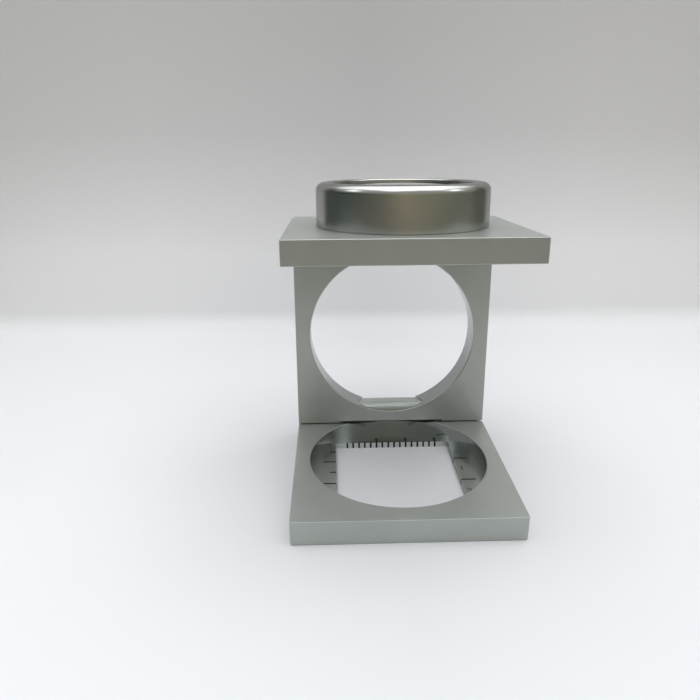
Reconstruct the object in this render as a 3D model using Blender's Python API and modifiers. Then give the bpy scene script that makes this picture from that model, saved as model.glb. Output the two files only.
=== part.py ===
"""Folding viewing loupe (linen tester): base, upright and lens plate on two pinned hinges.

Metres, +Z up, +Y away from the user, +X to the user's right. The origin is under the middle of the
open object, on the surface that it stands on. Every leaf is drawn square to the base. The upright's
hinge empty then leans the upright, and the lens plate with it, back onto its stop.
"""
import math

import bmesh
import bpy
from mathutils import Matrix, Vector

# ---- leaves -----------------------------------------------------------------------------------
WIDTH = 0.03175                     # 1 1/4 inch, all three leaves
BASE_THICK = 0.0036
BASE_DEPTH_FRONT = 0.0280           # from the upright's front face to the base's front edge
BASE_DEPTH_BACK = 0.0046            # just short of the upright's back, so the folded lens plate clears it
UPRIGHT_THICK = 0.0048
LENS_PLATE_THICK = 0.00315
LENS_PLATE_WIDTH = 0.03165
LENS_PLATE_FRONT = 0.0263           # from the upright's front face to the plate's front edge
LENS_HEIGHT = 0.0317                # lens plate's underside above the base's top
EDGE_ROUND = 0.0003
LEAN = math.radians(3.0)            # how far the open upright leans back on its stop
LEAF_GAP = 0.0001                   # running gap between leaves that meet

# ---- base -------------------------------------------------------------------------------------
OPTICAL_Y = 0.0115                  # optical axis in front of the upright's front face
RECESS_RADIUS = 0.01356
FLOOR_THICK = 0.0009
WINDOW = 0.01905                    # 3/4 inch
WINDOW_DRAFT = 0.0001               # draft of the window's walls
WINDOW_SHIFT = 0.00035              # the window's middle is this far in front of the optical axis

# ---- upright ----------------------------------------------------------------------------------
HOLE_RADIUS = 0.0135
HOLE_HEIGHT = 0.01556               # above the base's top
LIP_BOTTOM = 0.00035

# ---- hinges, seen from the end: (behind the upright's front face, above the base's top) ----------
BOTTOM_PIN = (0.0017, 0.00187)
TOP_PIN = (0.0064, 0.0333)
BOTTOM_KNUCKLE_RADIUS = 0.00125
POCKET_GAP = 0.00012                # between the base's knuckle and the upright's pocket round it
TOP_KNUCKLE_RADIUS = 0.0011
KNUCKLE_HALF = 0.0085               # half length of each middle knuckle
BOTTOM_FORK_HALF = 0.00883          # inner faces of the upright's bottom knuckles
TOP_FORK_HALF = 0.00895             # inner faces of the upright's ears
EAR_TOP = 0.0329
PIN_RADIUS = 0.0005
BORE_RADIUS = 0.00055
PIN_HALF = 0.0156
RIDGE_FRONT = 0.00345               # ridge that ties the base's knuckle to the base
RIDGE_BACK = 0.0045
RIDGE_TOP = 0.00265
NECK_BOTTOM = 0.00066
FOOT_GAP = 0.00008                  # under the upright's foot when it leans on its stop
GROOVE_RADIUS = 0.0026              # trough for the upright's front corner as it swings under the pin
WASHER_THICK = 0.0002
WASHER_RADIUS = 0.0010
WASHER_BORE = 0.0006

# ---- lens cell --------------------------------------------------------------------------------
BARREL_RADIUS = 0.0118
BARREL_HEIGHT = 0.00577             # above the lens plate's top
RIM_ROUND = 0.0011
RIM_OPENING = 0.0096
RIM_LIP = 0.00065
SPIGOT_RADIUS = 0.0109
SPIGOT_HOLE = 0.01096
BARREL_BORE = 0.0102
OPTIC_RADIUS = 0.0101
OPTIC_INNER = 0.0093
LENS_EDGE = 0.0010
LENS_BULGE = 0.0017                # of the domes that face each other
EYE_BULGE = 0.0005                  # of the eye lens's outer face
RETAINER_THICK = 0.0011
STACK_GAP = 0.00005

# ---- derived places ---------------------------------------------------------------------------
HALF = WIDTH / 2
BACK_REACH = (BOTTOM_PIN[0] + (TOP_PIN[0] - BOTTOM_PIN[0]) * math.cos(LEAN)
              + (TOP_PIN[1] - BOTTOM_PIN[1]) * math.sin(LEAN) + TOP_KNUCKLE_RADIUS)
FACE_Y = (BASE_DEPTH_FRONT - BACK_REACH) / 2      # puts the open object's middle on Y = 0
DECK_Z = BASE_THICK
OPTICAL_WORLD_Y = FACE_Y - OPTICAL_Y
BOTTOM_AXIS = Vector((0, FACE_Y + BOTTOM_PIN[0], DECK_Z + BOTTOM_PIN[1]))
TOP_AXIS = Vector((0, FACE_Y + TOP_PIN[0], DECK_Z + TOP_PIN[1]))
PLATE_BOTTOM = DECK_Z + LENS_HEIGHT
PLATE_TOP = PLATE_BOTTOM + LENS_PLATE_THICK
BARREL_TOP = PLATE_TOP + BARREL_HEIGHT

LARGE_SIDES = 96
SMALL_SIDES = 32
REACH = 0.06                        # longer than any leaf, for cutters that run right through


def empty_scene():
    for old in list(bpy.data.objects):
        bpy.data.objects.remove(old, do_unlink=True)


def collection(name):
    made = bpy.data.collections.new(name)
    bpy.context.scene.collection.children.link(made)
    return made


def place(obj, name, group):
    """Name a new object and move it to its collection."""
    obj.name = obj.data.name = name
    for old in list(obj.users_collection):
        old.objects.unlink(obj)
    group.objects.link(obj)
    if group is CUTTERS:
        obj.hide_render = True
        obj.display_type = 'WIRE'
    return obj


def block(name, x, y, z, group=None):
    """A box from (low, high) pairs; y is behind the upright's front face, z is above the base's top."""
    bpy.ops.mesh.primitive_cube_add(size=1)
    obj = bpy.context.object
    low = Vector((x[0], FACE_Y + y[0], DECK_Z + z[0]))
    high = Vector((x[1], FACE_Y + y[1], DECK_Z + z[1]))
    obj.data.transform(Matrix.Translation((low + high) / 2) @ Matrix.Diagonal((*(high - low), 1)))
    return place(obj, name, group or CUTTERS)


def rod(name, radius, x, axis, group=None, sides=SMALL_SIDES):
    """A cylinder along X between x[0] and x[1], about a hinge axis."""
    bpy.ops.mesh.primitive_cylinder_add(vertices=sides, radius=radius, depth=x[1] - x[0])
    obj = bpy.context.object
    middle = Vector(((x[0] + x[1]) / 2, axis.y, axis.z))
    obj.data.transform(Matrix.Translation(middle) @ Matrix.Rotation(math.pi / 2, 4, 'Y'))
    return place(obj, name, group or CUTTERS)


def drum(name, radius, centre, direction, length, group=None, sides=LARGE_SIDES):
    """A cylinder of the given length centred on a point, along 'Y' or 'Z'."""
    bpy.ops.mesh.primitive_cylinder_add(vertices=sides, radius=radius, depth=length)
    obj = bpy.context.object
    turn = Matrix.Rotation(math.pi / 2, 4, 'X') if direction == 'Y' else Matrix.Identity(4)
    obj.data.transform(Matrix.Translation(centre) @ turn)
    return place(obj, name, group or CUTTERS)


def slab(name, outline, x, group=None):
    """An outline of (y, z) points, in block's frame, extruded along X between x[0] and x[1]."""
    curve = bpy.data.curves.new(name, 'CURVE')
    curve.dimensions = '2D'
    curve.fill_mode = 'BOTH'
    curve.extrude = (x[1] - x[0]) / 2
    line = curve.splines.new('POLY')
    line.points.add(len(outline) - 1)
    for point, (y, z) in zip(line.points, outline):
        point.co = (FACE_Y + y, DECK_Z + z, 0, 1)
    line.use_cyclic_u = True
    guide = bpy.data.objects.new(name, curve)
    bpy.context.scene.collection.objects.link(guide)
    mesh = bpy.data.meshes.new_from_object(guide.evaluated_get(bpy.context.evaluated_depsgraph_get()))
    bpy.data.objects.remove(guide)
    shell = bmesh.new()
    shell.from_mesh(mesh)
    bmesh.ops.remove_doubles(shell, verts=shell.verts, dist=0.0000005)
    upright_axes = Matrix(((0, 0, 1, (x[0] + x[1]) / 2), (1, 0, 0, 0), (0, 1, 0, 0), (0, 0, 0, 1)))
    shell.transform(upright_axes)
    bmesh.ops.recalc_face_normals(shell, faces=shell.faces)
    shell.to_mesh(mesh)
    shell.free()
    obj = bpy.data.objects.new(name, mesh)
    bpy.context.scene.collection.objects.link(obj)
    return place(obj, name, group or CUTTERS)


def turned(name, profile, closed, group, along_x_at=None):
    """Turn a (radius, height) profile with a Screw modifier, on the optical axis or a hinge axis.

    The profile runs down its outer side. A closed profile makes a ring, an open one starts and ends on
    the axis.
    """
    mesh = bpy.data.meshes.new(name)
    points = [(radius, 0, height) for radius, height in profile]
    edges = [(i, i + 1) for i in range(len(points) - 1)]
    if closed:
        edges.append((len(points) - 1, 0))
    mesh.from_pydata(points, edges, [])
    obj = bpy.data.objects.new(name, mesh)
    group.objects.link(obj)
    screw = obj.modifiers.new("turn", 'SCREW')
    screw.steps = screw.render_steps = SMALL_SIDES if along_x_at else LARGE_SIDES
    screw.use_merge_vertices = True
    screw.merge_threshold = 0.000001
    if along_x_at:
        obj.location = along_x_at
        obj.rotation_euler = (0, math.pi / 2, 0)
    else:
        obj.location = (0, OPTICAL_WORLD_Y, 0)
    return obj


def combine(target, tool, operation):
    step = target.modifiers.new(tool.name, 'BOOLEAN')
    step.object = tool
    step.operation = operation
    step.solver = 'EXACT'


def cut(target, *tools):
    for tool in tools:
        combine(target, tool, 'DIFFERENCE')


def add(target, *tools):
    for tool in tools:
        combine(target, tool, 'UNION')


def soften(obj, width):
    edge = obj.modifiers.new("soften", 'BEVEL')
    edge.width = width
    edge.segments = 2


def hinge_empty(name, axis, parent=None):
    pivot = bpy.data.objects.new(name, None)
    PARTS.objects.link(pivot)
    pivot.parent = parent
    pivot.location = axis - parent.location if parent else axis
    return pivot


def hang(pivot, axis, *objects):
    """Parent objects to a hinge empty and put their origins on its axis."""
    for obj in objects:
        if obj.location.length:
            obj.location -= axis
        else:
            obj.data.transform(Matrix.Translation(-axis))
        obj.parent = pivot


def finish(obj, material):
    obj.data.materials.clear()
    obj.data.materials.append(material)
    if obj.type == 'MESH' and obj.data.polygons:
        obj.data.shade_smooth()
        obj.data.set_sharp_from_angle(angle=math.radians(30))


def metal(name, colour, roughness, metallic=1.0, transmission=0.0):
    material = bpy.data.materials.new(name)
    material.use_nodes = True
    shader = material.node_tree.nodes["Principled BSDF"]
    shader.inputs["Base Color"].default_value = (*colour, 1)
    shader.inputs["Roughness"].default_value = roughness
    shader.inputs["Metallic"].default_value = metallic
    shader.inputs["Transmission Weight"].default_value = transmission
    return material


def arc(centre, radius, start, end, count):
    """Points of an arc in a profile, angles in degrees from the profile's outward direction."""
    turns = [math.radians(start + (end - start) * i / count) for i in range(count + 1)]
    return [(centre[0] + radius * math.cos(turn), centre[1] + radius * math.sin(turn)) for turn in turns]


# ---- base leaf --------------------------------------------------------------------------------

def window_cutter():
    """The square window, its walls slightly drafted, kept inside the round recess."""
    lower = WINDOW / 2 - WINDOW_DRAFT          # the same slope carried down past the underside
    upper = WINDOW / 2 + 2 * WINDOW_DRAFT
    bpy.ops.mesh.primitive_cone_add(vertices=4, radius1=lower * math.sqrt(2), radius2=upper * math.sqrt(2),
                                    depth=3 * FLOOR_THICK)
    obj = bpy.context.object
    middle = Vector((0, OPTICAL_WORLD_Y - WINDOW_SHIFT, FLOOR_THICK / 2))
    obj.data.transform(Matrix.Translation(middle) @ Matrix.Rotation(math.pi / 4, 4, 'Z'))
    place(obj, "cut_window", CUTTERS)
    bound = drum("bound_window", RECESS_RADIUS - LEAF_GAP / 2, Vector((0, OPTICAL_WORLD_Y, 0)), 'Z', REACH)
    combine(obj, bound, 'INTERSECT')
    return obj


def circle_angle(height, radius):
    """Angle, in degrees, at which a circle of this radius stands this high above its centre."""
    return math.degrees(math.asin(height / radius))


def ramp_angle():
    """Direction, from the bottom pin, in which the ramp from knuckle to ridge touches the knuckle."""
    out = RIDGE_BACK - BOTTOM_PIN[0]
    up = RIDGE_TOP - BOTTOM_PIN[1]
    return math.degrees(math.atan2(up, out) + math.acos(BOTTOM_KNUCKLE_RADIUS / math.hypot(out, up)))


def base_knuckle_outline():
    """Ridge, ramp, knuckle and neck in one, seen from the end."""
    under = circle_angle(NECK_BOTTOM - BOTTOM_PIN[1], BOTTOM_KNUCKLE_RADIUS)
    return ([(RIDGE_BACK, -BASE_THICK / 3), (RIDGE_BACK, RIDGE_TOP)]
            + arc(BOTTOM_PIN, BOTTOM_KNUCKLE_RADIUS, ramp_angle(), 360 + under, 24)
            + [(RIDGE_FRONT, NECK_BOTTOM), (RIDGE_FRONT, -BASE_THICK / 3)])


def base_leaf():
    base = block("base_frame", (-HALF, HALF), (-BASE_DEPTH_FRONT, BASE_DEPTH_BACK), (-BASE_THICK, 0), PARTS)
    soften(base, EDGE_ROUND)
    recess_centre = Vector((0, OPTICAL_WORLD_Y, FLOOR_THICK + REACH / 2))
    cut(base,
        drum("cut_recess", RECESS_RADIUS, recess_centre, 'Z', REACH),
        window_cutter(),
        rod("cut_trough", GROOVE_RADIUS, (-REACH, REACH), BOTTOM_AXIS, sides=64))
    add(base, slab("add_base_knuckle", base_knuckle_outline(), (-KNUCKLE_HALF, KNUCKLE_HALF)))
    cut(base, rod("cut_base_bore", BORE_RADIUS, (-HALF, HALF), BOTTOM_AXIS, sides=24))
    return base


# ---- upright leaf -----------------------------------------------------------------------------

def unleaned(y, z):
    """Where a point of the leaning upright lies before it is leaned, seen from the end."""
    out = y - BOTTOM_PIN[0]
    up = z - BOTTOM_PIN[1]
    return (BOTTOM_PIN[0] + out * math.cos(LEAN) - up * math.sin(LEAN),
            BOTTOM_PIN[1] + out * math.sin(LEAN) + up * math.cos(LEAN))


def upright_outline():
    """The outer parts of the leaf, seen from the end: a foot that lies flat when leaned, and the ear's eye."""
    low_front = unleaned(0, FOOT_GAP)[1]
    low_back = unleaned(UPRIGHT_THICK, FOOT_GAP)[1]
    shoulder = 180 - circle_angle(EAR_TOP - TOP_PIN[1], TOP_KNUCKLE_RADIUS)
    eye = arc(TOP_PIN, TOP_KNUCKLE_RADIUS, shoulder, -90, 20)
    corner = 2 * EDGE_ROUND / 3
    return ([(0, EAR_TOP)] + eye + [(UPRIGHT_THICK, eye[-1][1]), (UPRIGHT_THICK, low_back)]
            + arc((corner, low_front + corner), corner, -90, -180, 3))


def pocket_outline():
    """Room round the base's knuckle, ramp and ridge, seen from the end, with the upright unleaned."""
    radius = BOTTOM_KNUCKLE_RADIUS + POCKET_GAP
    ramp = ramp_angle() + math.degrees(LEAN)
    bend = arc(BOTTOM_PIN, radius, 180, ramp, 20)
    slope = -1 / math.tan(math.radians(ramp))
    far = (REACH, bend[-1][1] + (REACH - bend[-1][0]) * slope)
    return [(BOTTOM_PIN[0] - radius, -REACH)] + bend + [far, (REACH, -REACH)]


def upright_leaf():
    """The standing leaf and its cutters, all to be hung on the bottom hinge."""
    upright = slab("upright_frame", upright_outline(), (-HALF, HALF), PARTS)
    span = (-BOTTOM_FORK_HALF, BOTTOM_FORK_HALF)
    pocket = slab("cut_knuckle_pocket", pocket_outline(), span)
    under_lip = block("cut_under_lip", span, (-REACH, REACH), (-REACH, LIP_BOTTOM))
    fork = block("cut_between_ears", (-TOP_FORK_HALF, TOP_FORK_HALF), (-REACH, REACH),
                 (LENS_HEIGHT - LEAF_GAP, REACH))
    hole_centre = Vector((0, FACE_Y, DECK_Z + HOLE_HEIGHT))
    hole = drum("cut_hole", HOLE_RADIUS, hole_centre, 'Y', REACH)
    tools = [pocket, under_lip, fork, hole]
    cut(upright, pocket, under_lip, fork, hole)
    for name, axis in (("bottom", BOTTOM_AXIS), ("top", TOP_AXIS)):
        bore = rod("cut_upright_bore_" + name, BORE_RADIUS, (-REACH, REACH), axis, sides=24)
        cut(upright, bore)
        tools.append(bore)
    return upright, tools


def hinge_pieces(which, axis, fork_half):
    """One hinge's pin and its two spring washers."""
    pin = rod(which + "_hinge_pin", PIN_RADIUS, (-PIN_HALF, PIN_HALF), axis, PARTS, sides=24)
    middle = (KNUCKLE_HALF + fork_half) / 2
    half = WASHER_THICK / 2
    profile = [(WASHER_RADIUS, half), (WASHER_RADIUS, -half), (WASHER_BORE, -half), (WASHER_BORE, half)]
    pieces = [pin]
    for side, x in (("left", -middle), ("right", middle)):
        at = Vector((x, axis.y, axis.z))
        pieces.append(turned(f"{which}_washer_{side}", profile, True, PARTS, at))
    return pieces


# ---- lens leaf --------------------------------------------------------------------------------

def tongue_outline():
    """The tongue that runs back over the upright to the top pin, sloping down to its round end."""
    low = LENS_HEIGHT + LEAF_GAP / 10
    high = LENS_HEIGHT + LENS_PLATE_THICK - LEAF_GAP / 10
    round_end = arc(TOP_PIN, TOP_KNUCKLE_RADIUS, -90, 80, 20)
    root = -LENS_PLATE_THICK
    return [(root, low)] + round_end + [(UPRIGHT_THICK / 4, high), (root, high)]


def lens_leaf():
    """The top leaf and its cutters, all to be hung on the top hinge."""
    side = LENS_PLATE_WIDTH / 2
    height = (LENS_HEIGHT, LENS_HEIGHT + LENS_PLATE_THICK)
    plate = block("lens_frame", (-side, side), (-LENS_PLATE_FRONT, -LEAF_GAP), height, PARTS)
    soften(plate, EDGE_ROUND)
    tongue = slab("add_tongue", tongue_outline(), (-KNUCKLE_HALF, KNUCKLE_HALF))
    seat = drum("cut_barrel_seat", SPIGOT_HOLE, Vector((0, OPTICAL_WORLD_Y, PLATE_TOP)), 'Z', REACH)
    bore = rod("cut_tongue_bore", BORE_RADIUS, (-HALF, HALF), TOP_AXIS, sides=24)
    add(plate, tongue)
    cut(plate, seat, bore)
    return plate, [tongue, seat, bore]


def dome_rise(radius, bulge=LENS_BULGE):
    """Height of a lens's dome above its edge, at a radius."""
    sphere = (OPTIC_RADIUS ** 2 + bulge ** 2) / (2 * bulge)
    return math.sqrt(sphere ** 2 - radius ** 2) - (sphere - bulge)


def dome(edge, bulge, up):
    """Profile of a dome from its edge in to the axis, bulging up (1) or down (-1)."""
    rings = 10
    radii = [OPTIC_RADIUS * (1 - i / rings) for i in range(rings + 1)]
    return [(radius, edge + up * dome_rise(radius, bulge)) for radius in radii]


def barrel_profile():
    """The cell from the rim's crown down its outer side and back up its bore."""
    outer = arc((BARREL_RADIUS - RIM_ROUND, BARREL_TOP - RIM_ROUND), RIM_ROUND, 90, 0, 5)
    shoulder = PLATE_TOP + STACK_GAP
    foot = PLATE_BOTTOM + STACK_GAP
    return outer + [(BARREL_RADIUS, shoulder), (SPIGOT_RADIUS, shoulder), (SPIGOT_RADIUS, foot),
                    (BARREL_BORE, foot), (BARREL_BORE, BARREL_TOP - RIM_LIP),
                    (RIM_OPENING, BARREL_TOP - RIM_LIP), (RIM_OPENING, BARREL_TOP - RIM_LIP / 3),
                    (RIM_OPENING + RIM_LIP / 3, BARREL_TOP)]


def ring_profile(outer, inner, low, high):
    return [(outer, high), (outer, low), (inner, low), (inner, high)]


def optics():
    """Barrel, lenses, spacer and retaining ring, from the rim down."""
    upper_flat = BARREL_TOP - RIM_LIP - STACK_GAP - dome_rise(RIM_OPENING, EYE_BULGE)
    retainer_low = PLATE_BOTTOM + 3 * STACK_GAP
    retainer_high = retainer_low + RETAINER_THICK
    lower_flat = retainer_high + STACK_GAP
    seat = LENS_EDGE + dome_rise(OPTIC_INNER) + STACK_GAP
    spacer = (lower_flat + seat, upper_flat - seat)
    eye_lens = dome(upper_flat, EYE_BULGE, 1)[::-1] + dome(upper_flat - LENS_EDGE, LENS_BULGE, -1)
    field_lens = dome(lower_flat + LENS_EDGE, LENS_BULGE, 1)[::-1] + [(OPTIC_RADIUS, lower_flat), (0, lower_flat)]
    return {
        "lens_barrel": turned("lens_barrel", barrel_profile(), True, PARTS),
        "upper_lens": turned("upper_lens", eye_lens, False, PARTS),
        "lens_spacer": turned("lens_spacer", ring_profile(OPTIC_RADIUS, OPTIC_INNER, *spacer), True, PARTS),
        "lower_lens": turned("lower_lens", field_lens, False, PARTS),
        "retaining_ring": turned("retaining_ring",
                                 ring_profile(OPTIC_RADIUS, OPTIC_INNER, retainer_low, retainer_high),
                                 True, PARTS),
    }


# ---- assembly ---------------------------------------------------------------------------------

empty_scene()
PARTS = collection("viewing_loupe")
CUTTERS = collection("cutters")

satin = metal("satin_cast_alloy", (0.46, 0.48, 0.46), 0.42)
polished = metal("turned_barrel", (0.42, 0.41, 0.36), 0.22)
steel = metal("hinge_steel", (0.50, 0.50, 0.50), 0.30)
black = metal("blackened_ring", (0.02, 0.02, 0.02), 0.55, 0.0)
glass = metal("lens_glass", (0.95, 0.97, 0.96), 0.02, 0.0, 1.0)

base_frame = base_leaf()
upright_frame, upright_tools = upright_leaf()
bottom_hinge = hinge_pieces("bottom", BOTTOM_AXIS, BOTTOM_FORK_HALF)
top_hinge = hinge_pieces("top", TOP_AXIS, TOP_FORK_HALF)
lens_frame, lens_tools = lens_leaf()
cell = optics()

upright_pivot = hinge_empty("upright_pivot", BOTTOM_AXIS)
lens_pivot = hinge_empty("lens_pivot", TOP_AXIS, upright_pivot)
hang(upright_pivot, BOTTOM_AXIS, upright_frame, *upright_tools, *bottom_hinge, *top_hinge)
hang(lens_pivot, TOP_AXIS, lens_frame, *lens_tools, *cell.values())
upright_pivot.rotation_euler = (-LEAN, 0, 0)

for leaf in (base_frame, upright_frame, lens_frame):
    finish(leaf, satin)
for piece in bottom_hinge + top_hinge:
    finish(piece, steel)
for piece_name, piece in cell.items():
    finish(piece, {"lens_barrel": polished, "upper_lens": glass, "lower_lens": glass}.get(piece_name, black))
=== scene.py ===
"""Looks of the folding viewing loupe: fine meshes, metals, glass, graduations, stage, light and camera.

Metres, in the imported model's frame. The upright and all that it carries are drawn square to the base, then
leaned back by LEAN, as the open object stands.
"""
import math

import bmesh
import bpy
from mathutils import Matrix, Vector


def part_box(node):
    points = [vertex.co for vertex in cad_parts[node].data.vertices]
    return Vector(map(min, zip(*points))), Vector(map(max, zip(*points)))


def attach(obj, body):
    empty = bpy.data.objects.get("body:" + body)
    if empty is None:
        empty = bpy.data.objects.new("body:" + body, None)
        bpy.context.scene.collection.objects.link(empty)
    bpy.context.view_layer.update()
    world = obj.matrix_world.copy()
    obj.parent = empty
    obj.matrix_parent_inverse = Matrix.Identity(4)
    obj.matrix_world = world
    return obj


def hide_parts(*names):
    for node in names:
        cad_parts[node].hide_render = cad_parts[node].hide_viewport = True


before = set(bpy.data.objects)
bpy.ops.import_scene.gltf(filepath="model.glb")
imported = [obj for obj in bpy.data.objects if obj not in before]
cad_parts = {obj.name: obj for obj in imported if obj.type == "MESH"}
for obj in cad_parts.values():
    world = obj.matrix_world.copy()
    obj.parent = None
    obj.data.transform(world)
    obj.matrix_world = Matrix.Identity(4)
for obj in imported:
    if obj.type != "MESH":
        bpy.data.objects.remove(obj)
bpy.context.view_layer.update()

# ---- sizes shared with the design -----------------------------------------------------------------
LOW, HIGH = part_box("base_frame")
HALF = HIGH[0]
BASE_THICK = 0.0036
DECK_Z = LOW[2] + BASE_THICK
BASE_FRONT = LOW[1]
BASE_BACK = HIGH[1]
BASE_DEPTH_BACK = 0.0046
UPRIGHT_THICK = 0.0048
FACE_Y = BASE_BACK - BASE_DEPTH_BACK          # the upright's front face at the base's top
LENS_PLATE_THICK = 0.00315
LENS_PLATE_HALF = 0.015825
LENS_PLATE_FRONT = 0.0263
LENS_HEIGHT = 0.0317
LEAN = math.radians(3.0)
LEAF_GAP = 0.0001
OPTICAL_Y = FACE_Y - 0.0115
RECESS_RADIUS = 0.01356
FLOOR_THICK = 0.0009
WINDOW_HALF = 0.009525
WINDOW_DRAFT = 0.0001                         # how far each of the window's walls leans back
WINDOW_Y = OPTICAL_Y - 0.00035
HOLE_RADIUS = 0.0135
HOLE_HEIGHT = 0.01556
LIP_BOTTOM = 0.00035
BOTTOM_PIN = (0.0017, 0.00187)                # (behind the upright's front face, above the base's top)
TOP_PIN = (0.0064, 0.0333)
BOTTOM_KNUCKLE_RADIUS = 0.00125
POCKET_GAP = 0.00012
TOP_KNUCKLE_RADIUS = 0.0011
KNUCKLE_HALF = 0.0085
BOTTOM_FORK_HALF = 0.00883
TOP_FORK_HALF = 0.00895
EAR_TOP = 0.0329
PIN_RADIUS = 0.0005
BORE_RADIUS = 0.00055
PIN_HALF = 0.0156
RIDGE_FRONT = 0.00345
RIDGE_BACK = 0.0045
RIDGE_TOP = 0.00265
NECK_BOTTOM = 0.00066
FOOT_GAP = 0.00008
FOOT_ROUND = 0.0002
GROOVE_RADIUS = 0.0026
BARREL_RADIUS = 0.0118
BARREL_HEIGHT = 0.00577
RIM_ROUND = 0.0011
RIM_OPENING = 0.0096
RIM_LIP = 0.00065
SPIGOT_RADIUS = 0.0109
SPIGOT_HOLE = 0.01096
BARREL_BORE = 0.0102
OPTIC_RADIUS = 0.0101
OPTIC_INNER = 0.0093
LENS_EDGE = 0.0010
LENS_BULGE = 0.0017
EYE_BULGE = 0.0005
RETAINER_THICK = 0.0011
STACK_GAP = 0.00005

BOTTOM_AXIS = Vector((0, FACE_Y + BOTTOM_PIN[0], DECK_Z + BOTTOM_PIN[1]))
TOP_AXIS = Vector((0, FACE_Y + TOP_PIN[0], DECK_Z + TOP_PIN[1]))
PLATE_BOTTOM = DECK_Z + LENS_HEIGHT
PLATE_TOP = PLATE_BOTTOM + LENS_PLATE_THICK
BARREL_TOP = PLATE_TOP + BARREL_HEIGHT
LEANED = (Matrix.Translation(BOTTOM_AXIS) @ Matrix.Rotation(-LEAN, 4, 'X')
          @ Matrix.Translation(-BOTTOM_AXIS))
REACH = 0.06                                  # longer than any leaf, for cutters that run right through
LARGE_SIDES = 256
SMALL_SIDES = 48
MERGE = 0.0000002                             # corners closer than this become one
SAME_LEVEL = 0.000001                         # heights closer than this are the same height
ON_PLANE = 0.00001                            # how near a plane or an edge's circle a corner lies
ON_ROUND = 0.00002                            # how near a round wall a corner lies
ON_WINDOW = 0.00015                           # the same for the window's drafted walls
SHARP_EDGE = 50                               # degrees; edges that turn more than this are rounded


# ---- mesh tools -------------------------------------------------------------------------------------

def link(name, mesh):
    obj = bpy.data.objects.new(name, mesh)
    bpy.context.scene.collection.objects.link(obj)
    return obj


def from_bmesh(name, shell):
    mesh = bpy.data.meshes.new(name)
    shell.to_mesh(mesh)
    shell.free()
    return link(name, mesh)


def block(name, x, y, z):
    """A box from (low, high) pairs; y is behind the upright's front face, z is above the base's top."""
    shell = bmesh.new()
    bmesh.ops.create_cube(shell, size=2)
    for vert in shell.verts:
        vert.co.x = x[vert.co.x > 0]
        vert.co.y = FACE_Y + y[vert.co.y > 0]
        vert.co.z = DECK_Z + z[vert.co.z > 0]
    return from_bmesh(name, shell)


def cylinder(name, radius, length, place, sides):
    shell = bmesh.new()
    bmesh.ops.create_cone(shell, cap_ends=True, segments=sides, radius1=radius, radius2=radius, depth=length)
    shell.transform(place)
    return from_bmesh(name, shell)


def rod(name, radius, x, axis, sides=SMALL_SIDES):
    """A cylinder along X between x[0] and x[1], about a hinge axis."""
    middle = Vector(((x[0] + x[1]) / 2, axis.y, axis.z))
    place = Matrix.Translation(middle) @ Matrix.Rotation(math.pi / 2, 4, 'Y')
    return cylinder(name, radius, x[1] - x[0], place, sides)


def slab(name, outline, x):
    """An outline of (y, z) points, in block's frame, extruded along X between x[0] and x[1]."""
    shell = bmesh.new()
    ring = [shell.verts.new((x[0], FACE_Y + y, DECK_Z + z)) for y, z in outline]
    face = shell.faces.new(ring)
    swept = bmesh.ops.extrude_face_region(shell, geom=[face])["geom"]
    moved = [item for item in swept if isinstance(item, bmesh.types.BMVert)]
    bmesh.ops.translate(shell, verts=moved, vec=(x[1] - x[0], 0, 0))
    bmesh.ops.recalc_face_normals(shell, faces=shell.faces)
    return from_bmesh(name, shell)


def turned(name, profile, closed, centre=None, steps=LARGE_SIDES):
    """Turn a (radius, height) profile about the vertical through centre, by default the optical axis."""
    shell = bmesh.new()
    verts = [shell.verts.new((radius, 0, height)) for radius, height in profile]
    edges = [shell.edges.new(pair) for pair in zip(verts, verts[1:])]
    if closed:
        edges.append(shell.edges.new((verts[-1], verts[0])))
    bmesh.ops.spin(shell, geom=verts + edges, cent=(0, 0, 0), axis=(0, 0, 1), angle=2 * math.pi, steps=steps)
    bmesh.ops.remove_doubles(shell, verts=shell.verts, dist=MERGE)
    bmesh.ops.recalc_face_normals(shell, faces=shell.faces)
    shell.transform(Matrix.Translation(centre or Vector((0, OPTICAL_Y, 0))))
    return from_bmesh(name, shell)


def evaluated_mesh(obj):
    """A new mesh of the object as it is seen, with its modifiers applied."""
    return bpy.data.meshes.new_from_object(obj.evaluated_get(bpy.context.evaluated_depsgraph_get()))


def settle(obj):
    """Apply an object's modifiers."""
    mesh = evaluated_mesh(obj)
    obj.modifiers.clear()
    obj.data = mesh


def combine(target, operation, *tools):
    for tool in tools:
        step = target.modifiers.new(tool.name, 'BOOLEAN')
        step.object = tool
        step.operation = operation
        step.solver = 'EXACT'
    settle(target)
    for tool in tools:
        bpy.data.objects.remove(tool)
    return target


def cut(target, *tools):
    combine(target, 'DIFFERENCE', *tools)


def add(target, *tools):
    combine(target, 'UNION', *tools)


def round_edges(obj, width, segments, rule=None):
    """Round the sharp convex edges and apply it. rule(start, end) gives an edge's share of the width."""
    shell = bmesh.new()
    shell.from_mesh(obj.data)
    weight = shell.edges.layers.float.new("bevel_weight_edge")
    for edge in shell.edges:
        if len(edge.link_faces) == 2 and edge.calc_face_angle_signed(0) > math.radians(SHARP_EDGE):
            edge[weight] = 1.0 if rule is None else float(rule(edge.verts[0].co, edge.verts[1].co))
    shell.to_mesh(obj.data)
    shell.free()
    step = obj.modifiers.new("round", 'BEVEL')
    step.limit_method = 'WEIGHT'
    step.width = width
    step.segments = segments
    step.use_clamp_overlap = False
    settle(obj)
    if "bevel_weight_edge" in obj.data.attributes:
        obj.data.attributes.remove(obj.data.attributes["bevel_weight_edge"])
    return obj


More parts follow.
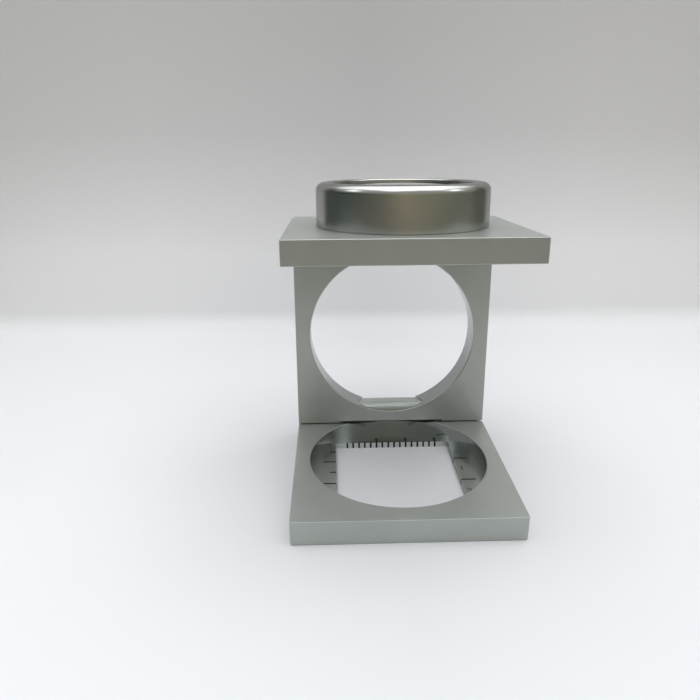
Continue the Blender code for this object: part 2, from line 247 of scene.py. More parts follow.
def smooth(obj, angle=32):
    obj.data.shade_smooth()
    obj.data.set_sharp_from_angle(angle=math.radians(angle))
    weigh = obj.modifiers.new("weigh", 'WEIGHTED_NORMAL')
    weigh.keep_sharp = True
    return obj


def arc(centre, radius, start, end, count):
    """Points of an arc, angles in degrees from the outward direction."""
    turns = [math.radians(start + (end - start) * i / count) for i in range(count + 1)]
    return [(centre[0] + radius * math.cos(turn), centre[1] + radius * math.sin(turn)) for turn in turns]


def circle_angle(height, radius):
    return math.degrees(math.asin(height / radius))


# ---- materials --------------------------------------------------------------------------------------

def fill_ramp(node, stops):
    """Give a colour ramp its (position, colour) stops."""
    elements = node.color_ramp.elements
    while len(elements) < len(stops):
        elements.new(0.5)
    for element, (position, colour) in zip(elements, stops):
        element.position = position
        element.color = (*colour, 1)
    return node


class Nodes:
    """A material's node tree, with short ways to add and link nodes."""

    def __init__(self, name, colour, roughness, metallic):
        self.material = bpy.data.materials.new(name)
        self.material.use_nodes = True
        self.tree = self.material.node_tree
        self.shader = self.tree.nodes["Principled BSDF"]
        self.shader.inputs["Base Color"].default_value = (*colour, 1)
        self.shader.inputs["Roughness"].default_value = roughness
        self.shader.inputs["Metallic"].default_value = metallic

    def add(self, kind, **settings):
        node = self.tree.nodes.new(kind)
        for key, value in settings.items():
            if key in node.inputs:
                node.inputs[key].default_value = value
            else:
                setattr(node, key.lower(), value)
        return node

    def join(self, source, output, target, socket):
        self.tree.links.new(source.outputs[output], target.inputs[socket])

    def noise(self, scale, detail, roughness=0.5, stretch=(1, 1, 1)):
        """Noise in object coordinates, stretched."""
        noise = self.add("ShaderNodeTexNoise", Scale=scale, Detail=detail, Roughness=roughness)
        where = self.add("ShaderNodeTexCoord")
        mapping = self.add("ShaderNodeMapping", Scale=stretch)
        self.join(where, "Object", mapping, "Vector")
        self.join(mapping, "Vector", noise, "Vector")
        return noise

    def ramp(self, source, output, stops):
        """A colour ramp from (position, colour) stops."""
        ramp = fill_ramp(self.add("ShaderNodeValToRGB"), stops)
        self.join(source, output, ramp, "Fac")
        return ramp

    def span(self, source, output, low, high):
        """Map a 0 to 1 value to low to high."""
        node = self.add("ShaderNodeMapRange")
        node.inputs["To Min"].default_value = low
        node.inputs["To Max"].default_value = high
        self.join(source, output, node, "Value")
        return node

    def fade(self, source, output, start, end):
        """0 at start, 1 at end."""
        node = self.span(source, output, 0.0, 1.0)
        node.inputs["From Min"].default_value = start
        node.inputs["From Max"].default_value = end
        return node

    def tone(self, noise, stops):
        """Base colour that follows a noise."""
        self.join(self.ramp(noise, "Fac", stops), "Color", self.shader, "Base Color")

    def gloss(self, noise, low, high):
        """Roughness that follows a noise."""
        self.join(self.span(noise, "Fac", low, high), "Result", self.shader, "Roughness")

    def bump(self, noise, depth):
        """Bumps that follow a noise, their depth in metres."""
        bump = self.add("ShaderNodeBump", Strength=1.0, Distance=depth)
        self.join(noise, "Fac", bump, "Height")
        self.join(bump, "Normal", self.shader, "Normal")


def cast_alloy():
    """Satin die-cast leaf: faint mottling, fine grain and hairline rub marks."""
    nodes = Nodes("satin_cast_alloy", (0.43, 0.457, 0.437), 0.37, 0.7)
    mottle = nodes.noise(180, 3, 0.55)
    nodes.tone(mottle, [(0.30, (0.415, 0.442, 0.422)), (0.70, (0.445, 0.472, 0.452))])
    nodes.gloss(nodes.noise(900, 3, 0.6, (1, 14, 14)), 0.31, 0.43)
    nodes.bump(nodes.noise(9000, 2), 0.000003)
    return nodes.material


def machined_alloy(name, level, roughness=0.12):
    """Cut faces of the leaves: the same alloy without its satin skin, with fine tool marks. The level
    differs by use: the bored finish is darker as painted shade, the milled one brighter as painted light.
    """
    nodes = Nodes(name, (level, level, level), roughness, 1.0)
    patches = nodes.noise(150, 2)
    nodes.tone(patches, [(0.3, (0.95 * level, level, 0.96 * level)),
                         (0.7, (1.02 * level, 1.07 * level, 1.03 * level))])
    rings = nodes.noise(1200, 3, 0.6, (0.3, 0.3, 6))
    nodes.gloss(rings, roughness, roughness + 0.1)
    nodes.bump(rings, 0.0000008)
    return nodes.material


def turned_metal():
    """Barrel metal: polished, with the fine rings that turning leaves."""
    nodes = Nodes("turned_barrel", (0.5, 0.51, 0.49), 0.24, 1.0)
    nodes.shader.inputs["Specular Tint"].default_value = (0.62, 0.63, 0.63, 1)
    patches = nodes.noise(180, 3, 0.6)
    nodes.tone(patches, [(0.3, (0.47, 0.475, 0.455)), (0.7, (0.54, 0.545, 0.525))])
    rings = nodes.noise(700, 3, 0.7, (0.3, 0.3, 16))
    nodes.gloss(rings, 0.2, 0.28)
    nodes.bump(rings, 0.0000012)
    return nodes.material


def hinge_steel():
    nodes = Nodes("hinge_steel", (0.5, 0.5, 0.5), 0.3, 1.0)
    drawn = nodes.noise(1500, 2, 0.6, (1, 10, 10))
    nodes.tone(drawn, [(0.3, (0.42, 0.42, 0.42)), (0.7, (0.55, 0.55, 0.545))])
    nodes.gloss(drawn, 0.22, 0.4)
    return nodes.material


def black_anodised():
    nodes = Nodes("blackened_ring", (0.02, 0.02, 0.02), 0.5, 0.2)
    grain = nodes.noise(4000, 2)
    nodes.tone(grain, [(0.3, (0.014, 0.014, 0.015)), (0.7, (0.03, 0.03, 0.031))])
    nodes.gloss(grain, 0.42, 0.6)
    nodes.bump(grain, 0.000003)
    return nodes.material


def black_paint():
    """Paint of the graduations, thin and a little uneven."""
    nodes = Nodes("graduation_paint", (0.012, 0.012, 0.012), 0.6, 0.0)
    nodes.shader.inputs["Specular IOR Level"].default_value = 0.2
    worn = nodes.noise(5000, 2)
    nodes.tone(worn, [(0.35, (0.008, 0.008, 0.008)), (0.8, (0.03, 0.03, 0.028))])
    return nodes.material


def lens_glass():
    nodes = Nodes("lens_glass", (0.97, 0.99, 0.98), 0.015, 0.0)
    nodes.shader.inputs["Transmission Weight"].default_value = 1.0
    nodes.shader.inputs["IOR"].default_value = 1.52
    nodes.shader.inputs["Coat Weight"].default_value = 0.3
    nodes.gloss(nodes.noise(350, 3), 0.008, 0.03)
    return nodes.material


CAST = cast_alloy()
# Painted shade: the bored finish is given a darker level than the cast alloy.
BORED_PAINTED_SHADE = machined_alloy("bored_alloy_painted_shade", 0.32)
FACED = machined_alloy("faced_alloy", 0.56, 0.2)
# Painted light: the milled finish is given a brighter level than the other cut faces.
MILLED_PAINTED_LIGHT = machined_alloy("milled_alloy_painted_light", 0.64)
TURNED = turned_metal()
STEEL = hinge_steel()
BLACK = black_anodised()
PAINT = black_paint()
GLASS = lens_glass()


def dress(obj, material, body, leaned=False, replaced=()):
    """Lean a piece if it stands on the upright, then give it its material and body, and hide the design
    pieces it replaces.
    """
    if leaned:
        obj.data.transform(LEANED)
    obj.data.materials.clear()
    obj.data.materials.append(material)
    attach(obj, body)
    if replaced:
        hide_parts(*replaced)


def refinish(obj, material, chosen):
    """Give another finish to the faces whose every corner passes the test."""
    obj.data.materials.append(material)
    for face in obj.data.polygons:
        if all(chosen(obj.data.vertices[i].co) for i in face.vertices):
            face.material_index = len(obj.data.materials) - 1


# ---- base -------------------------------------------------------------------------------------------

BASE_ROUND = 0.0003                  # on the base's outer corners; its other edges take a share of it
KNUCKLE_ROUND = 0.00008


def window_cutter():
    """The square window, its walls slightly drafted, kept inside the round recess."""
    shell = bmesh.new()
    low_corner = (WINDOW_HALF - WINDOW_DRAFT) * math.sqrt(2)
    high_corner = (WINDOW_HALF + 2 * WINDOW_DRAFT) * math.sqrt(2)
    bmesh.ops.create_cone(shell, cap_ends=True, segments=4, radius1=low_corner, radius2=high_corner,
                          depth=3 * FLOOR_THICK)
    middle = Matrix.Translation((0, WINDOW_Y, LOW[2] + FLOOR_THICK / 2))
    shell.transform(middle @ Matrix.Rotation(math.pi / 4, 4, 'Z'))
    funnel = from_bmesh("window_cutter", shell)
    bound = cylinder("window_bound", RECESS_RADIUS - LEAF_GAP / 2, REACH,
                     Matrix.Translation((0, OPTICAL_Y, 0)), LARGE_SIDES)
    return combine(funnel, 'INTERSECT', bound)


def ramp_angle():
    """Direction, from the bottom pin, in which the ramp from knuckle to ridge touches the knuckle."""
    out = RIDGE_BACK - BOTTOM_PIN[0]
    up = RIDGE_TOP - BOTTOM_PIN[1]
    return math.degrees(math.atan2(up, out) + math.acos(BOTTOM_KNUCKLE_RADIUS / math.hypot(out, up)))


def base_knuckle():
    """Ridge, ramp, knuckle and neck of the bottom hinge in one."""
    under = circle_angle(NECK_BOTTOM - BOTTOM_PIN[1], BOTTOM_KNUCKLE_RADIUS)
    sunk = -BASE_THICK / 3
    outline = ([(RIDGE_BACK, sunk), (RIDGE_BACK, RIDGE_TOP)]
               + arc(BOTTOM_PIN, BOTTOM_KNUCKLE_RADIUS, ramp_angle(), 360 + under, 48)
               + [(RIDGE_FRONT, NECK_BOTTOM), (RIDGE_FRONT, sunk)])
    return round_edges(slab("knuckle", outline, (-KNUCKLE_HALF, KNUCKLE_HALF)), KNUCKLE_ROUND, 2)


def off_axis(spot):
    """How far a point is from the vertical through the recess's middle."""
    return math.hypot(spot.x, spot.y - OPTICAL_Y)


def in_floor(spot):
    return spot.z < LOW[2] + FLOOR_THICK + ON_PLANE


def on_recess_wall(spot):
    return abs(off_axis(spot) - RECESS_RADIUS) < ON_ROUND


def on_recess_floor(spot):
    inside = off_axis(spot) < RECESS_RADIUS + ON_ROUND
    return inside and abs(spot.z - LOW[2] - FLOOR_THICK) < ON_PLANE


def on_window_wall(spot):
    return max(abs(spot.x), abs(spot.y - WINDOW_Y)) < WINDOW_HALF + ON_WINDOW and in_floor(spot)


def on_window_back(spot):
    return abs(spot.y - WINDOW_Y - WINDOW_HALF) < ON_WINDOW and in_floor(spot)


def base_casting():
    base = block("base_casting", (-HALF, HALF), (BASE_FRONT - FACE_Y, BASE_DEPTH_BACK), (-BASE_THICK, 0))
    recess = cylinder("recess", RECESS_RADIUS, REACH,
                      Matrix.Translation((0, OPTICAL_Y, LOW[2] + FLOOR_THICK + REACH / 2)), LARGE_SIDES)
    cut(base, recess)

    def share(a, b):
        if abs(a.z - b.z) > BASE_THICK / 2:
            return 1.0                        # the outer corners
        if max(a.z, b.z) < LOW[2] + SAME_LEVEL:
            return 0.4                        # the underside's outline
        on_rim = all(off_axis(point) < RECESS_RADIUS + ON_PLANE for point in (a, b))
        return 0.55 if on_rim else 0.25
    round_edges(base, BASE_ROUND, 4, share)
    cut(base, window_cutter(), rod("groove", GROOVE_RADIUS, (-REACH, REACH), BOTTOM_AXIS, 128))
    add(base, base_knuckle())
    cut(base, rod("bore", BORE_RADIUS, (-HALF, HALF), BOTTOM_AXIS))
    dress(smooth(base), CAST, "base", replaced=("base_frame",))
    # Painted shade on the recess wall and window sides (bored finish); painted light on the window's back
    # wall (milled finish).
    refinish(base, BORED_PAINTED_SHADE, on_recess_wall)
    refinish(base, FACED, on_recess_floor)
    refinish(base, BORED_PAINTED_SHADE, on_window_wall)
    refinish(base, MILLED_PAINTED_LIGHT, on_window_back)


# ---- graduations ------------------------------------------------------------------------------------

PAINT_HEIGHT = 0.000012
TICK_WIDTH = 0.0003
MILLIMETRE = 0.001
INCH = 0.0254
MIDDLE_TICK = 7.6                    # where the window's middle falls on the millimetre scale
SHORT_TICK = 0.0003
LONG_TICK = 0.0016                   # every fifth millimetre
EIGHTH_TICK = 0.0010
EIGHTH_QUARTER_TICK = 0.0020         # every second eighth
QUARTER_TICK = 0.0023
SIDE_SCALE_START = 0.0015            # the right-hand scale starts this far in front of the upright
LEFT_SCALE_LAG = 0.0004              # and the left-hand scale this much further
FIGURE_SIZE = 0.0016
FIGURE_OUT = 0.0008                  # from the window's edge to a figure's middle


def tick(shell, along, reach, turn):
    """A painted line that climbs the window's wall and runs out on the floor.

    along is its place along the edge, reach how far it runs out from the edge. turn is the edge's
    direction: 0 for the back edge, +90 for the left and -90 for the right.
    """
    place = Matrix.Translation((0, WINDOW_Y, LOW[2])) @ Matrix.Rotation(math.radians(turn), 4, 'Z')
    path = [(0, 0, -1, 0), (WINDOW_DRAFT, FLOOR_THICK, -1, 1), (reach, FLOOR_THICK, 0, 1)]
    rows = []
    for out, height, out_lift, up_lift in path:
        row = []
        for side, lift in ((-1, -0.5), (1, -0.5), (1, 1), (-1, 1)):
            corner = Vector((along + side * TICK_WIDTH / 2,
                             WINDOW_HALF + out + lift * out_lift * PAINT_HEIGHT,
                             height + lift * up_lift * PAINT_HEIGHT))
            row.append(shell.verts.new(place @ corner))
        rows.append(row)
    for first, second in zip(rows, rows[1:]):
        for i in range(4):
            shell.faces.new((first[i], first[(i + 1) % 4], second[(i + 1) % 4], second[i]))
    shell.faces.new(rows[0])
    shell.faces.new(rows[-1])


def finish_ticks(shell, name):
    bmesh.ops.recalc_face_normals(shell, faces=shell.faces)
    dress(from_bmesh(name, shell), PAINT, "base")


def graduations():
    """Millimetres on the back edge, eighths of an inch on the left and quarters on the right."""
    shell = bmesh.new()
    for i in range(16):
        tick(shell, (i - MIDDLE_TICK) * MILLIMETRE, LONG_TICK if i in (5, 10, 15) else SHORT_TICK, 0)
    finish_ticks(shell, "millimetre_scale")
    front_to_back = FACE_Y - WINDOW_Y - SIDE_SCALE_START
    shell = bmesh.new()
    for i in range(1, 5):
        along = front_to_back - LEFT_SCALE_LAG - i * INCH / 8
        tick(shell, along, EIGHTH_QUARTER_TICK if i % 2 == 0 else EIGHTH_TICK, 90)
    finish_ticks(shell, "eighth_inch_scale")
    shell = bmesh.new()
    for i in range(1, 4):
        tick(shell, i * INCH / 4 - front_to_back, QUARTER_TICK, -90)
    finish_ticks(shell, "quarter_inch_scale")
    for i in range(1, 3):
        numeral(str(i), front_to_back - (i + 0.5) * INCH / 4)


def numeral(character, along):
    """A plain figure painted on the floor beside the right-hand scale."""
    text = bpy.data.curves.new("figure_" + character, 'FONT')
    text.body = character
    text.size = FIGURE_SIZE
    text.align_x = text.align_y = 'CENTER'
    text.extrude = PAINT_HEIGHT
    guide = link("guide", text)
    mesh = evaluated_mesh(guide)
    bpy.data.objects.remove(guide)
    mesh.transform(Matrix.Translation((WINDOW_HALF + FIGURE_OUT, WINDOW_Y + along, LOW[2] + FLOOR_THICK)))
    dress(link("figure_" + character, mesh), PAINT, "base")


# ---- upright ----------------------------------------------------------------------------------------

LEAF_ROUND = 0.0001                  # the upright's outer edges and the tongue's
EYE_LOW = LENS_HEIGHT - 0.0005       # above this the upright's edges belong to the ears' eyes
HOLE_ROUND = 0.00018
LIP_ROUND = 0.00012
PIN_DOME = 0.00018


def unleaned(y, z):
    """Where a point of the leaning upright lies before it is leaned, seen from the end."""
    out = y - BOTTOM_PIN[0]
    up = z - BOTTOM_PIN[1]
    return (BOTTOM_PIN[0] + out * math.cos(LEAN) - up * math.sin(LEAN),
            BOTTOM_PIN[1] + out * math.sin(LEAN) + up * math.cos(LEAN))


def upright_outline():
    """The leaf from the end: a foot that lies flat when leaned, and the ear's eye."""
    low_front = unleaned(0, FOOT_GAP)[1]
    low_back = unleaned(UPRIGHT_THICK, FOOT_GAP)[1]
    shoulder = 180 - circle_angle(EAR_TOP - TOP_PIN[1], TOP_KNUCKLE_RADIUS)
    eye = arc(TOP_PIN, TOP_KNUCKLE_RADIUS, shoulder, -90, 36)
    return ([(0, EAR_TOP)] + eye + [(UPRIGHT_THICK, eye[-1][1]), (UPRIGHT_THICK, low_back)]
            + arc((FOOT_ROUND, low_front + FOOT_ROUND), FOOT_ROUND, -90, -180, 6))


def pocket_outline():
    """Room round the base's knuckle, ramp and ridge, seen from the end, with the upright unleaned."""
    radius = BOTTOM_KNUCKLE_RADIUS + POCKET_GAP
    ramp = ramp_angle() + math.degrees(LEAN)
    bend = arc(BOTTOM_PIN, radius, 180, ramp, 36)
    slope = -1 / math.tan(math.radians(ramp))
    far = (REACH, bend[-1][1] + (REACH - bend[-1][0]) * slope)
    return [(BOTTOM_PIN[0] - radius, -REACH)] + bend + [far, (REACH, -REACH)]


def upright_casting():
    upright = slab("upright_casting", upright_outline(), (-HALF, HALF))

    def finer_at_the_eye(start, end):
        return 0.6 if max(start.z, end.z) > DECK_Z + EYE_LOW else 1.0
    round_edges(upright, LEAF_ROUND, 3, finer_at_the_eye)
    span = (-BOTTOM_FORK_HALF, BOTTOM_FORK_HALF)
    hole_centre = Vector((0, FACE_Y, DECK_Z + HOLE_HEIGHT))
    hole_place = Matrix.Translation(hole_centre) @ Matrix.Rotation(math.pi / 2, 4, 'X')
    cut(upright,
        cylinder("hole", HOLE_RADIUS, REACH, hole_place, LARGE_SIDES),
        slab("pocket", pocket_outline(), span),
        block("under_lip", span, (-REACH, REACH), (-REACH, LIP_BOTTOM)),
        block("fork", (-TOP_FORK_HALF, TOP_FORK_HALF), (-REACH, REACH), (LENS_HEIGHT - LEAF_GAP, REACH)),
        rod("bottom_bore", BORE_RADIUS, (-REACH, REACH), BOTTOM_AXIS),
        rod("top_bore", BORE_RADIUS, (-REACH, REACH), TOP_AXIS))

    def hole_rim(start, end):
        radii = [Vector((point.x, point.z - hole_centre.z)).length for point in (start, end)]
        level = abs(start.y - end.y) < SAME_LEVEL
        return level and all(abs(radius - HOLE_RADIUS) < ON_PLANE for radius in radii)
    round_edges(upright, HOLE_ROUND, 3, hole_rim)

    def lip_edge(start, end):
        low = max(start.z, end.z) < DECK_Z + LIP_BOTTOM + 2 * SAME_LEVEL
        in_front = max(start.y, end.y) < FACE_Y + 2 * SAME_LEVEL
        return low and in_front and abs(start.z - end.z) < SAME_LEVEL
    round_edges(upright, LIP_ROUND, 3, lip_edge)
    dress(smooth(upright), CAST, "upright", True, ("upright_frame",))
    straight = LEANED.inverted()

    def on_bore(spot):
        out = straight @ spot - hole_centre
        return abs(math.hypot(out.x, out.z) - HOLE_RADIUS) < ON_ROUND

    # Painted shade: the hole's wall takes the darker bored finish.
    refinish(upright, BORED_PAINTED_SHADE, on_bore)


def hinge_pins():
    """Steel pins with domed ends."""
    end = arc((PIN_RADIUS - PIN_DOME, PIN_HALF - PIN_DOME), PIN_DOME, 90, 0, 5)
    other_end = [(radius, -height) for radius, height in reversed(end)]
    profile = [(0, PIN_HALF)] + end + other_end + [(0, -PIN_HALF)]
    for which, axis in (("bottom", BOTTOM_AXIS), ("top", TOP_AXIS)):
        pin = turned(which + "_pin", profile, False, Vector((0, 0, 0)), SMALL_SIDES)
        pin.data.transform(Matrix.Translation(axis) @ Matrix.Rotation(math.pi / 2, 4, 'Y'))
        dress(smooth(pin), STEEL, "upright", True, (which + "_hinge_pin",))


# ---- lens plate and cell ----------------------------------------------------------------------------

LENS_PLATE_ROUND = 0.00009
SPACER_GROOVES = 8
GROOVE_DEPTH = 0.00018
RETAINER_BEVEL = 0.00025
SLOT_HALF = 0.0004
SLOT_DEPTH = 0.0005


def lens_plate_casting():
    plate = block("lens_plate_casting", (-LENS_PLATE_HALF, LENS_PLATE_HALF), (-LENS_PLATE_FRONT, -LEAF_GAP),
                  (LENS_HEIGHT, LENS_HEIGHT + LENS_PLATE_THICK))
    round_edges(plate, LENS_PLATE_ROUND, 3)
    low = LENS_HEIGHT + LEAF_GAP / 10
    high = LENS_HEIGHT + LENS_PLATE_THICK - LEAF_GAP / 10
    root = -LENS_PLATE_THICK
    outline = ([(root, low)] + arc(TOP_PIN, TOP_KNUCKLE_RADIUS, -90, 80, 32)
               + [(UPRIGHT_THICK / 4, high), (root, high)])
    tongue = slab("tongue", outline, (-KNUCKLE_HALF, KNUCKLE_HALF))
    round_edges(tongue, LEAF_ROUND, 2)
    add(plate, tongue)
    seat_place = Matrix.Translation((0, OPTICAL_Y, PLATE_TOP))
    cut(plate, cylinder("seat", SPIGOT_HOLE, REACH, seat_place, LARGE_SIDES),
        rod("tongue_bore", BORE_RADIUS, (-HALF, HALF), TOP_AXIS))
    dress(smooth(plate), CAST, "lens_plate", True, ("lens_frame",))


def barrel():
    """The lens cell's tube: a rounded rim above and a spigot that sits in the lens plate below."""
    crown = arc((BARREL_RADIUS - RIM_ROUND, BARREL_TOP - RIM_ROUND), RIM_ROUND, 90, 0, 12)
    shoulder = PLATE_TOP + STACK_GAP
    foot = PLATE_BOTTOM + STACK_GAP
    profile = crown + [(BARREL_RADIUS, shoulder), (SPIGOT_RADIUS, shoulder), (SPIGOT_RADIUS, foot),
                       (BARREL_BORE, foot), (BARREL_BORE, BARREL_TOP - RIM_LIP),
                       (RIM_OPENING, BARREL_TOP - RIM_LIP), (RIM_OPENING, BARREL_TOP - RIM_LIP / 3)]
    profile += arc((RIM_OPENING + RIM_LIP / 3, BARREL_TOP - RIM_LIP / 3), RIM_LIP / 3, 180, 90, 5)
    piece = smooth(turned("barrel", profile, True))
    dress(piece, TURNED, "lens_plate", True, ("lens_barrel",))


def dome_rise(radius, bulge=LENS_BULGE):
    """Height of a lens's dome above its edge, at a radius."""
    sphere = (OPTIC_RADIUS ** 2 + bulge ** 2) / (2 * bulge)
    return math.sqrt(sphere ** 2 - radius ** 2) - (sphere - bulge)


def dome(edge, bulge, up):
    """Profile of a dome from its edge in to the axis, bulging up (1) or down (-1)."""
    rings = 24
    radii = [OPTIC_RADIUS * (1 - i / rings) for i in range(rings + 1)]
    return [(radius, edge + up * dome_rise(radius, bulge)) for radius in radii]


def spacer_profile(low, high):
    """A ring whose inner face is grooved against stray light."""
    profile = [(OPTIC_RADIUS, high), (OPTIC_RADIUS, low), (OPTIC_INNER, low)]
    step = (high - low) / SPACER_GROOVES
    for i in range(SPACER_GROOVES):
        base = low + (high - low) * i / SPACER_GROOVES
        profile += [(OPTIC_INNER + GROOVE_DEPTH, base + step * 0.5), (OPTIC_INNER, base + step)]
    return profile


def optics():
    """Both lenses, the spacer between them and the ring that holds them, with its spanner slot."""
    upper_flat = BARREL_TOP - RIM_LIP - STACK_GAP - dome_rise(RIM_OPENING, EYE_BULGE)
    ring_low = PLATE_BOTTOM + 3 * STACK_GAP
    ring_high = ring_low + RETAINER_THICK
    lower_flat = ring_high + STACK_GAP
    seat = LENS_EDGE + dome_rise(OPTIC_INNER) + STACK_GAP
    eye = dome(upper_flat, EYE_BULGE, 1)[::-1] + dome(upper_flat - LENS_EDGE, LENS_BULGE, -1)
    field = dome(lower_flat + LENS_EDGE, LENS_BULGE, 1)[::-1] + [(OPTIC_RADIUS, lower_flat), (0, lower_flat)]
    for name, profile, node in (("eye_lens", eye, "upper_lens"), ("field_lens", field, "lower_lens")):
        dress(smooth(turned(name, profile, False)), GLASS, "lens_plate", True, (node,))
    spacer = turned("baffled_spacer", spacer_profile(lower_flat + seat, upper_flat - seat), True)
    dress(smooth(spacer, 20), BLACK, "lens_plate", True, ("lens_spacer",))
    ring = turned("slotted_ring", [(OPTIC_RADIUS, ring_high), (OPTIC_RADIUS, ring_low),
                                   (OPTIC_INNER + RETAINER_BEVEL, ring_low),
                                   (OPTIC_INNER, ring_low + RETAINER_BEVEL), (OPTIC_INNER, ring_high)], True)
    middle = OPTICAL_Y - FACE_Y
    bottom = ring_low - DECK_Z
    cut(ring, block("spanner_slot", (-REACH, REACH), (middle - SLOT_HALF, middle + SLOT_HALF),
                    (bottom - SLOT_DEPTH, bottom + SLOT_DEPTH)))
    dress(smooth(ring), BLACK, "lens_plate", True, ("retaining_ring",))


def washers():
    """The design model's own washers are fine enough, so they only get their metal."""
    for which in ("bottom", "top"):
        for side in ("left", "right"):
            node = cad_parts[f"{which}_washer_{side}"]
            node.data.materials.clear()
            node.data.materials.append(STEEL)


# ---- stage, light and camera ------------------------------------------------------------------------

WALL_Y = 0.0745                      # where the floor turns up behind the object
SWEEP = 0.005
PAPER_HALF = 0.105                   # the pale paper's half width; beyond it the table is darker
PAPER_REACH = 0.15                   # half the width over which the table's colour is laid out
WALL_TOP = 0.15
TABLE_FRONT = -0.9
TABLE_HALF = 1.2


# Places of a colour mix node's sockets; its names repeat for each kind of value.
MIX_FACTOR = 0
MIX_FIRST = 6
MIX_SECOND = 7
MIX_RESULT = 2


def backdrop():
    """A pale table that turns up into a pale wall, the table darker further out. Painted shade greys table
    and wall along their middle, darkens the table in front of the object and the wall towards its top, and
    keeps the floor darker than the wall's foot.
    """
    corner = arc((0, 0), SWEEP, -90, 0, 12)
    bend = [(WALL_Y - SWEEP + y, SWEEP + z) for y, z in corner]
    profile = [(TABLE_FRONT, 0.0)] + bend + [(WALL_Y, WALL_TOP)]
    shell = bmesh.new()
    rows = [[shell.verts.new((x, y, z)) for x in (-TABLE_HALF, TABLE_HALF)] for y, z in profile]
    for first, second in zip(rows, rows[1:]):
        shell.faces.new((first[0], first[1], second[1], second[0]))
    stage = from_bmesh("backdrop", shell)
    stage.data.shade_smooth()
    nodes = Nodes("pale_table_painted_shade", (0.80, 0.815, 0.84), 0.5, 0.0)
    where = nodes.add("ShaderNodeTexCoord")
    split = nodes.add("ShaderNodeSeparateXYZ")
    nodes.join(where, "Object", split, "Vector")
    across = nodes.fade(split, "X", -PAPER_REACH, PAPER_REACH)
    edge = PAPER_HALF / PAPER_REACH / 2
    pale = (0.95, 0.965, 0.985)
    # Painted shade: table and wall are greyer along their middle, under and behind the object; beyond the
    # paper's edges the table is darker.
    beside_and_middle_shade = nodes.ramp(across, "Result", [(0.46 - edge, (0.15, 0.185, 0.165)), (0.5 - edge, pale),
                                           (0.32, pale), (0.5, (0.85, 0.87, 0.895)), (0.68, pale),
                                           (0.5 + edge, pale), (0.54 + edge, (0.28, 0.29, 0.235))])
    # Painted shade: in front of the object the table fades to a dark warm tone.
    before = nodes.fade(split, "Y", -0.07, -0.15)
    ground = nodes.add("ShaderNodeMix", data_type='RGBA')
    nodes.tree.links.new(before.outputs["Result"], ground.inputs[MIX_FACTOR])
    nodes.tree.links.new(beside_and_middle_shade.outputs["Color"], ground.inputs[MIX_FIRST])
    ground.inputs[MIX_SECOND].default_value = (0.23, 0.2, 0.145, 1)
    # Painted shade and light: the floor is kept darker than the wall's foot, and the wall is brightest just
    # above the bend and darker towards its top.
    rise = nodes.fade(split, "Z", 0.0, 0.10)
    paper_and_painted_shade = nodes.ramp(rise, "Result", [(0.0, (0.80, 0.80, 0.805)), (0.01, (0.80, 0.80, 0.805)),
                                        (0.05, (0.96, 0.945, 0.95)), (0.2, (1.0, 0.98, 0.985)),
                                        (0.5, (0.78, 0.76, 0.765)), (1.0, (0.70, 0.685, 0.69))])
    tint = nodes.add("ShaderNodeMix", data_type='RGBA', blend_type='MULTIPLY')
    tint.inputs[MIX_FACTOR].default_value = 1.0
    nodes.tree.links.new(ground.outputs[MIX_RESULT], tint.inputs[MIX_FIRST])
    nodes.tree.links.new(paper_and_painted_shade.outputs["Color"], tint.inputs[MIX_SECOND])
    nodes.tree.links.new(tint.outputs[MIX_RESULT], nodes.shader.inputs["Base Color"])
    stage.data.materials.append(nodes.material)


def area_light(name, place, target, size, power, colour):
    light = bpy.data.lights.new(name, 'AREA')
    light.shape = 'RECTANGLE'
    light.size, light.size_y = size
    light.energy = power
    light.color = colour
    obj = link(name, light)
    obj.location = place
    obj.rotation_euler = (Vector(target) - Vector(place)).to_track_quat('-Z', 'Y').to_euler()


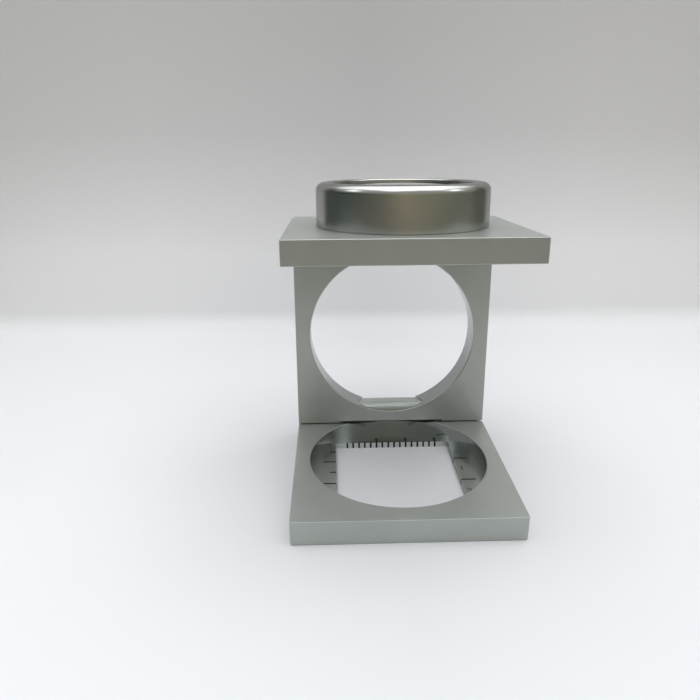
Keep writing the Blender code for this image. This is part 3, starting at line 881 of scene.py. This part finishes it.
def world_light():
    """A bright ceiling over a dim room: warm in front, dark on the left, grey on the right."""
    world = bpy.data.worlds.new("room")
    bpy.context.scene.world = world
    world.use_nodes = True
    tree = world.node_tree
    where = tree.nodes.new("ShaderNodeTexCoord")
    split = tree.nodes.new("ShaderNodeSeparateXYZ")
    tree.links.new(where.outputs["Generated"], split.inputs[0])

    def ramp(axis, low, high, stops):
        reach = tree.nodes.new("ShaderNodeMapRange")
        reach.inputs["From Min"].default_value = low
        reach.inputs["From Max"].default_value = high
        tree.links.new(split.outputs[axis], reach.inputs["Value"])
        colours = fill_ramp(tree.nodes.new("ShaderNodeValToRGB"), stops)
        tree.links.new(reach.outputs["Result"], colours.inputs["Fac"])
        return colours.outputs["Color"]

    def mix(factor, first, second):
        node = tree.nodes.new("ShaderNodeMix")
        node.data_type = 'RGBA'
        tree.links.new(factor, node.inputs[MIX_FACTOR])
        tree.links.new(first, node.inputs[MIX_FIRST])
        tree.links.new(second, node.inputs[MIX_SECOND])
        return node.outputs[MIX_RESULT]

    room = ramp("X", -1, 1, [(0.0, (0.025, 0.042, 0.035)), (0.15, (0.11, 0.13, 0.105)),
                             (0.48, (0.47, 0.41, 0.29)), (0.78, (0.32, 0.32, 0.23)),
                             (1.0, (0.24, 0.26, 0.2))])
    behind = ramp("Y", 0.3, 0.8, [(0.0, (0, 0, 0)), (1.0, (1, 1, 1))])
    back = ramp("Z", -1, 1, [(0.0, (0.45, 0.45, 0.45)), (1.0, (0.6, 0.61, 0.62))])
    above = ramp("Z", 0.15, 0.65, [(0.0, (0, 0, 0)), (1.0, (1, 1, 1))])
    ceiling = ramp("Y", -1, 1, [(0.0, (0.5, 0.5, 0.5)), (1.0, (0.62, 0.63, 0.64))])
    level = mix(behind, room, back)
    background = tree.nodes["Background"]
    tree.links.new(mix(above, level, ceiling), background.inputs["Color"])
    background.inputs["Strength"].default_value = 0.9


CAMERA_LENS = 32.12                  # millimetres, on a 36 mm wide sensor
CAMERA_YAW = math.radians(-1.660)
CAMERA_PITCH = math.radians(-20.457)
CAMERA_ROLL = math.radians(0.303)
CAMERA_PLACE = (-0.00979, FACE_Y - 0.09653, DECK_Z + 0.04948)


def camera():
    lens_data = bpy.data.cameras.new("camera")
    lens_data.sensor_width = 36
    lens_data.lens = CAMERA_LENS
    lens_data.clip_start = 0.005
    obj = link("camera", lens_data)
    turn = (Matrix.Rotation(CAMERA_YAW, 4, 'Z') @ Matrix.Rotation(CAMERA_PITCH, 4, 'X')
            @ Matrix.Rotation(CAMERA_ROLL, 4, 'Y') @ Matrix.Rotation(math.pi / 2, 4, 'X'))
    obj.matrix_world = Matrix.Translation(CAMERA_PLACE) @ turn
    bpy.context.scene.camera = obj


base_casting()
graduations()
upright_casting()
hinge_pins()
lens_plate_casting()
barrel()
optics()
washers()
backdrop()
area_light("ceiling", (0.02, -0.06, 0.50), (0, 0, 0.02), (0.58, 0.46), 1.75, (1.0, 0.99, 0.98))
area_light("behind", (0.0, 0.14, 0.32), (0, 0, 0.02), (0.6, 0.3), 0.8, (0.97, 0.99, 1.0))
area_light("window_left", (-0.42, -0.06, 0.34), (0, 0, 0.01), (0.12, 0.12), 0.14, (0.95, 0.98, 1.0))
area_light("window_right", (0.40, -0.10, 0.34), (0, 0, 0.01), (0.12, 0.12), 0.14, (0.95, 0.98, 1.0))
world_light()
camera()
bpy.context.scene.view_settings.view_transform = 'Standard'
